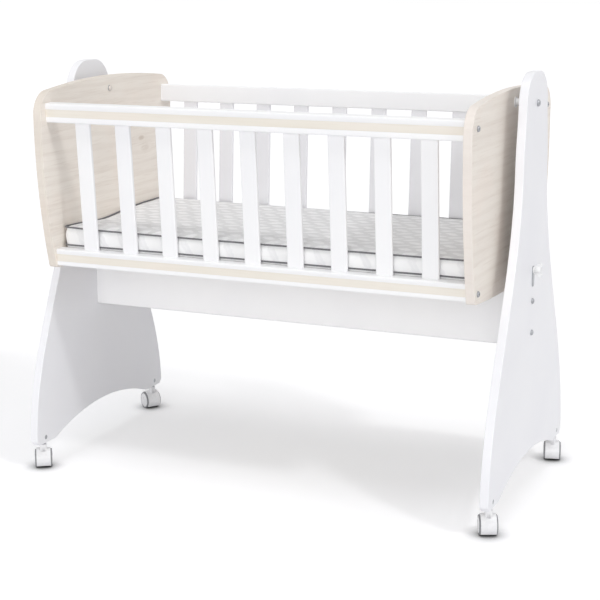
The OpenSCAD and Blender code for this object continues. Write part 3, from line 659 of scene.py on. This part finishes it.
def makeMattress():
    shape = mattressStart()
    mesh = bpy.data.meshes.new("mattress_cover")
    shape.to_mesh(mesh)
    shape.free()
    piece = bpy.data.objects.new("mattress_cover", mesh)
    scene.collection.objects.link(piece)
    bpy.context.view_layer.objects.active = piece
    remesh = piece.modifiers.new("remesh", "REMESH")
    remesh.mode = "VOXEL"
    remesh.voxel_size = mattress["voxel"]
    bpy.ops.object.modifier_apply(modifier=remesh.name)
    settleCover(piece)
    shapeCover(piece)
    for look in ("coverTop", "coverSide"):
        piece.data.materials.append(looks[look])
    lidFrom = highSeam - mattress["lidDepth"]
    for face in piece.data.polygons:
        face.use_smooth = True
        onTop = face.normal.z > mattress["lidSlope"] and face.center.z > lidFrom
        face.material_index = 0 if onTop else 1
    smoother = piece.modifiers.new("smoother", "SUBSURF")
    smoother.levels = smoother.render_levels = 1
    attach(piece, "cradle")
    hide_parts("mattress")
    print("mattress made with", len(piece.data.vertices), "points")


piping = {
    "radius": 0.0018,
    "sides": 12,
    "outset": 0.0006,  # past the cover at its ends, and as far inside it at its long sides
    "cornerMore": 0.001,  # what its corners' radius has over the cover's
    "cornerSteps": 8,
    "step": 0.02,
    "lift": 0.0006,
    "waver": 0.0005,
    "waverPitch": 16,
}


def pipingLoop(height):
    # the seam's path round the mattress, in the middle of the cord
    corner = mattress["cornerRadius"] + piping["cornerMore"]
    reachX, reachY = coverHigh.x + piping["outset"], coverHigh.y - piping["outset"]
    cornerSteps = piping["cornerSteps"]
    points = []
    for turn, (signX, signY) in enumerate(((1, 1), (-1, 1), (-1, -1), (1, -1))):
        centre = Vector((signX * (reachX - corner), signY * (reachY - corner), height))
        for step in range(cornerSteps + 1):
            angle = math.radians(90 * turn + 90 * step / cornerSteps)
            points.append(centre + Vector((math.cos(angle), math.sin(angle), 0)) * corner)
        if turn % 2 == 0:
            along = Vector((-signX * (reachX - corner) * 2, 0, 0))
        else:
            along = Vector((0, -signY * (reachY - corner) * 2, 0))
        steps = int(along.length / piping["step"])
        last = points[-1].copy()
        for step in range(1, steps):
            points.append(last + along * step / steps)
    return points


def makePiping():
    # a cord along each seam: the upper one follows the cover's dips, the lower one lies level
    shape = bmesh.new()
    for height, follows in ((lowSeam, 0), (highSeam, 1)):
        points = pipingLoop(height)
        for point in points:
            waver = piping["waver"] * noise.noise(point * piping["waverPitch"])
            point.z += waver + follows * (piping["lift"] - sagAt(point))
        rings = []
        for index, point in enumerate(points):
            ahead = points[(index + 1) % len(points)] - points[index - 1]
            made = bmesh.ops.create_circle(
                shape, segments=piping["sides"], radius=piping["radius"]
            )
            turn = ahead.to_track_quat("Z", "Y").to_matrix().to_4x4()
            place = Matrix.Translation(point) @ turn
            bmesh.ops.transform(shape, matrix=place, verts=made["verts"])
            rings.append({edge for vertex in made["verts"] for edge in vertex.link_edges})
        for index, ring in enumerate(rings):
            bmesh.ops.bridge_loops(shape, edges=list(ring | rings[(index + 1) % len(rings)]))
    bmesh.ops.recalc_face_normals(shape, faces=shape.faces)
    addPiece(
        shape,
        "mattress_piping_cord",
        "cradle",
        ["piping"],
        nodes=["mattress_piping"],
        smoothTo=80,
        weighted=False,
    )


makeMattress()
makePiping()
print("mattress and piping made")


hiddenPieces = {
    "steel": [
        "stretcher_barrel_nuts",
        "foot_barrel_nuts",
        "rail_barrel_nuts",
        "caster_stems",
        "ledge_screws",
    ],
    "brass": ["lock_inserts", "lock_receivers"],
    "beech": ["stretcher_dowels", "rail_dowels", "ledge_strips"],
    "base": ["base_board"],
}
for look, names in hiddenPieces.items():
    for name in names:
        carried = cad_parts[name].data
        carried.materials.clear()
        carried.materials.append(looks[look])
print("hidden pieces finished")


studio = {
    "floorSize": 30,
    "floorTone": (240, 240, 242),
    "floorLift": 0.27,  # the glow that brings the lit floor up to white
    # how far the floor's painted contact shadow reaches
    "paintedShadeReach": 0.035,
    "worldStrength": 0.47,
    "lampReach": 4,
    # each lamp: azimuth, elevation and spread in degrees, and strength
    "key": (70, 42, 6, 0.15),
    "side": (76, 34, 34, 0.088),
    "fill": (8, 7, 40, 0.41),
    "top": (10, 80, 35, 0.22),
}


def seenBackdrop(tree):
    # 1 where the camera, a reflection or clear plastic looks at the backdrop
    path = tree.nodes.new("ShaderNodeLightPath")
    total = path.outputs["Is Camera Ray"]
    for other in ("Is Glossy Ray", "Is Transmission Ray"):
        added = tree.nodes.new("ShaderNodeMath")
        added.operation = "MAXIMUM"
        tree.links.new(total, added.inputs[0])
        tree.links.new(path.outputs[other], added.inputs[1])
        total = added.outputs[0]
    return total


def makeFloor():
    # pale and matt; its colour and glow darkened close to what stands on it as painted contact
    # shadow
    shape = bmesh.new()
    bmesh.ops.create_grid(shape, x_segments=1, y_segments=1, size=studio["floorSize"])
    mesh = bpy.data.meshes.new("floor")
    shape.to_mesh(mesh)
    shape.free()
    floor = bpy.data.objects.new("floor", mesh)
    scene.collection.objects.link(floor)
    material = bpy.data.materials.new("paleFloor")
    material.use_nodes = True
    tree = material.node_tree
    tree.nodes.clear()
    # ambient occlusion darkens the floor's colour and its glow near the object: painted contact
    # shadow
    paintedContactShade = tree.nodes.new("ShaderNodeAmbientOcclusion")
    paintedContactShade.inputs["Color"].default_value = tone(*studio["floorTone"])
    paintedContactShade.inputs["Distance"].default_value = studio["paintedShadeReach"]
    matt = tree.nodes.new("ShaderNodeBsdfDiffuse")
    tree.links.new(paintedContactShade.outputs["Color"], matt.inputs["Color"])
    raised = tree.nodes.new("ShaderNodeMath")
    raised.operation = "MULTIPLY"
    tree.links.new(paintedContactShade.outputs["AO"], raised.inputs[0])
    raised.inputs[1].default_value = studio["floorLift"]
    glow = tree.nodes.new("ShaderNodeEmission")
    lift = tree.nodes.new("ShaderNodeMath")
    lift.operation = "MULTIPLY"
    tree.links.new(seenBackdrop(tree), lift.inputs[0])
    tree.links.new(raised.outputs[0], lift.inputs[1])
    tree.links.new(lift.outputs[0], glow.inputs["Strength"])
    both = tree.nodes.new("ShaderNodeAddShader")
    output = tree.nodes.new("ShaderNodeOutputMaterial")
    tree.links.new(matt.outputs[0], both.inputs[0])
    tree.links.new(glow.outputs[0], both.inputs[1])
    tree.links.new(both.outputs[0], output.inputs["Surface"])
    mesh.materials.append(material)


def makeWorld():
    world = bpy.data.worlds.new("studio")
    world.use_nodes = True
    tree = world.node_tree
    light = tree.nodes["Background"]
    light.inputs["Color"].default_value = (1, 1, 1, 1)
    light.inputs["Strength"].default_value = studio["worldStrength"]
    seen = tree.nodes.new("ShaderNodeBackground")
    seen.inputs["Color"].default_value = (1, 1, 1, 1)
    seen.inputs["Strength"].default_value = 1
    chosen = tree.nodes.new("ShaderNodeMixShader")
    tree.links.new(seenBackdrop(tree), chosen.inputs[0])
    tree.links.new(light.outputs[0], chosen.inputs[1])
    tree.links.new(seen.outputs[0], chosen.inputs[2])
    tree.links.new(chosen.outputs[0], tree.nodes["World Output"].inputs["Surface"])
    scene.world = world


def addLamp(name, azimuth, elevation, spread, strength):
    # a far, even light: azimuth 0 is in front of the cradle and 90 on its right
    # a strength of 1 shows white as white where the light falls straight on
    lamp = bpy.data.lights.new(name, "SUN")
    lamp.angle = math.radians(spread)
    lamp.energy = strength * math.pi
    holder = bpy.data.objects.new(name, lamp)
    scene.collection.objects.link(holder)
    turn, rise = math.radians(azimuth), math.radians(elevation)
    level = math.cos(rise)
    away = Vector((math.sin(turn) * level, -math.cos(turn) * level, math.sin(rise)))
    holder.location = away * studio["lampReach"]
    holder.rotation_euler = away.to_track_quat("Z", "Y").to_euler()


# where the photograph was taken from, worked out from the cradle's own edges
view = {
    "place": (1.2929, -2.8844, 1.1083),  # metres
    "azimuth": 23.98,  # degrees
    "elevation": 13.085,
    "roll": -0.006,  # radians
    "lens": 89.4,
    "sensor": 36,
    "shift": (-0.0035, 0.0008),
}


def makeCamera():
    azimuth, elevation = math.radians(view["azimuth"]), math.radians(view["elevation"])
    roll = view["roll"]
    data = bpy.data.cameras.new("camera")
    data.lens = view["lens"]
    data.sensor_width = view["sensor"]
    data.shift_x, data.shift_y = view["shift"]
    camera = bpy.data.objects.new("camera", data)
    scene.collection.objects.link(camera)
    level = Vector((-math.sin(azimuth), math.cos(azimuth), 0))
    right = Vector((math.cos(azimuth), math.sin(azimuth), 0))
    ahead = level * math.cos(elevation) - Vector((0, 0, math.sin(elevation)))
    up = right.cross(ahead)
    rolledRight = right * math.cos(roll) + up * math.sin(roll)
    rolledUp = up * math.cos(roll) - right * math.sin(roll)
    turn = Matrix((rolledRight, rolledUp, -ahead)).transposed().to_4x4()
    camera.matrix_world = Matrix.Translation(view["place"]) @ turn
    scene.camera = camera


makeFloor()
makeWorld()
for name in ("key", "side", "fill", "top"):
    addLamp(name, *studio[name])
makeCamera()
scene.view_settings.view_transform = "Standard"
print("studio made")
